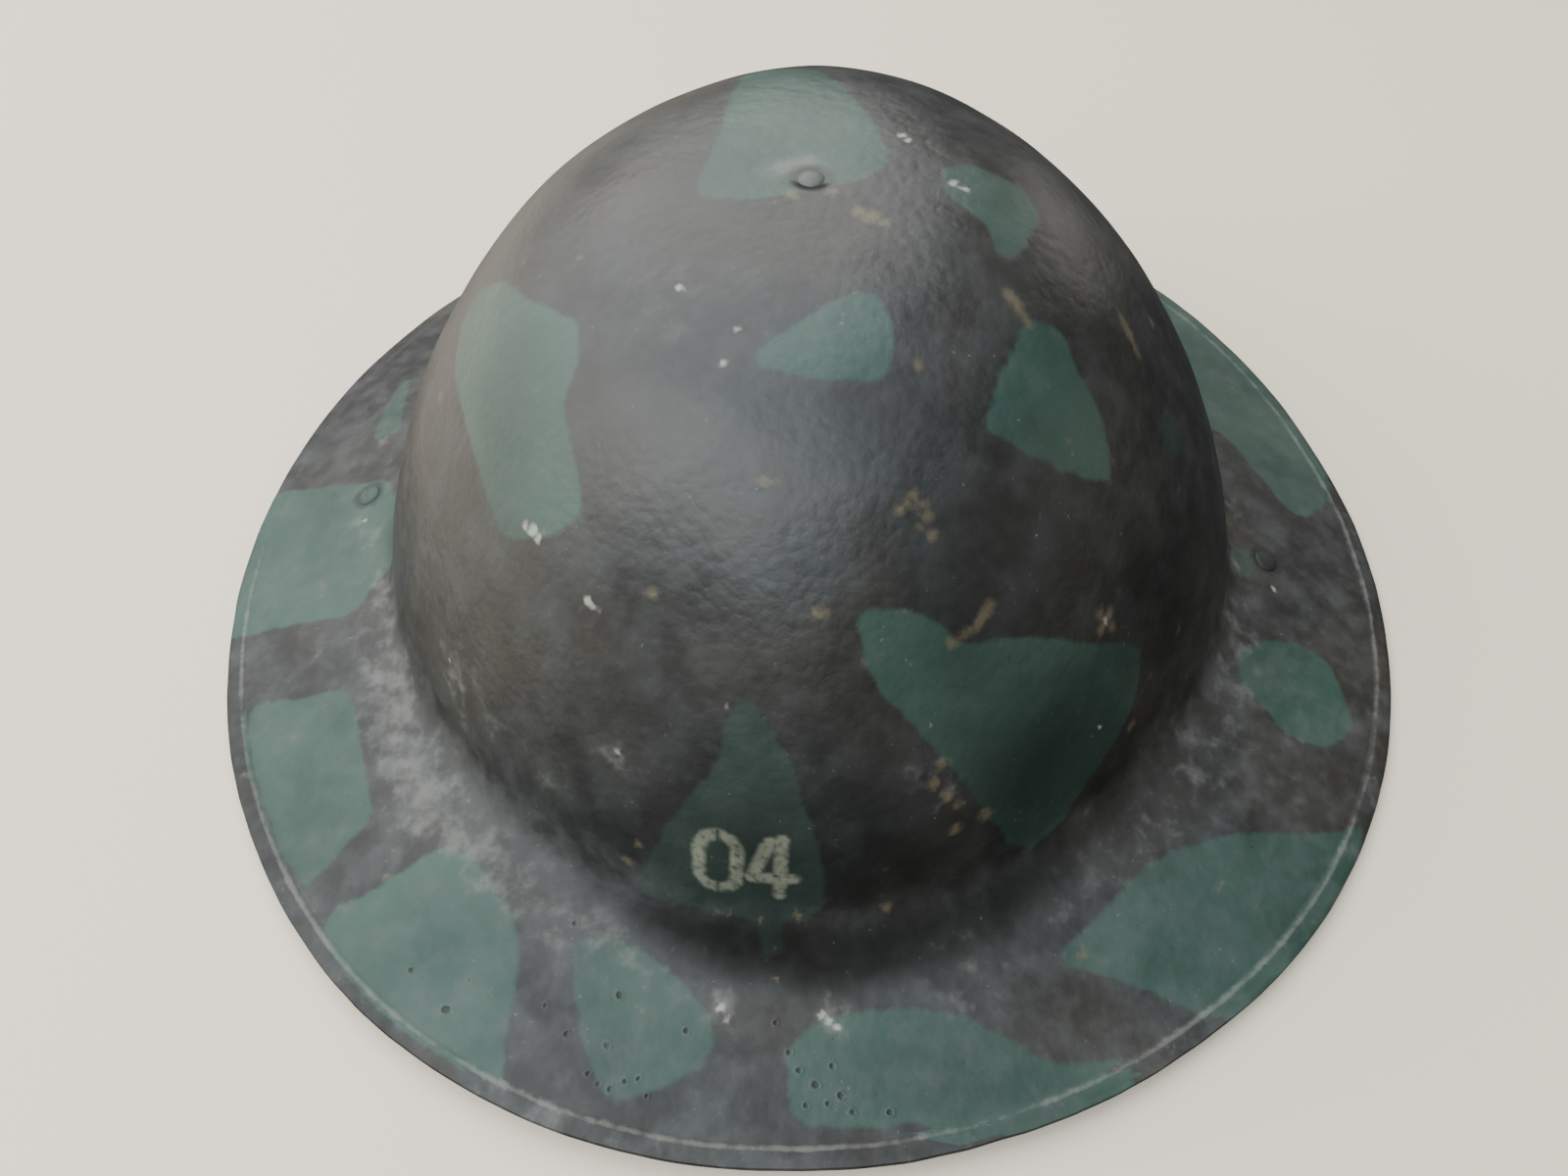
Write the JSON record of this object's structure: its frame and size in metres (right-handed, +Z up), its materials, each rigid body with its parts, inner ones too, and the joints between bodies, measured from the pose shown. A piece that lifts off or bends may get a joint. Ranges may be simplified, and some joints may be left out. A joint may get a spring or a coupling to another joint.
{
  "type": "brodie helmet",
  "caption": "Steel helmet with a deep oval bowl and a wide sloping brim, bound at the edge by a folded strip, with rivets through crown and brim.",
  "frame": {"origin": "centre of the footprint, on the plane that the rim rests on", "axes": "+Z up through the bowl, -Y towards the front, where the number is painted, +X towards the right side as seen from the front"},
  "size_m": [0.2899, 0.303, 0.1186],
  "materials": {
    "shell_paint": "worn dark brown-black paint with blue-green patches, satin",
    "rim_paint": "worn paint, rubbed along its inner edge",
    "rivet_paint": "painted over, grimy round the edge"
  },
  "bodies": {
    "root": {"shell": "shell_paint", "rim_binding": "rim_paint", "crown_rivet": "rivet_paint", "side_rivet_left": "rivet_paint", "side_rivet_right": "rivet_paint"}
  },
  "joints": []
}
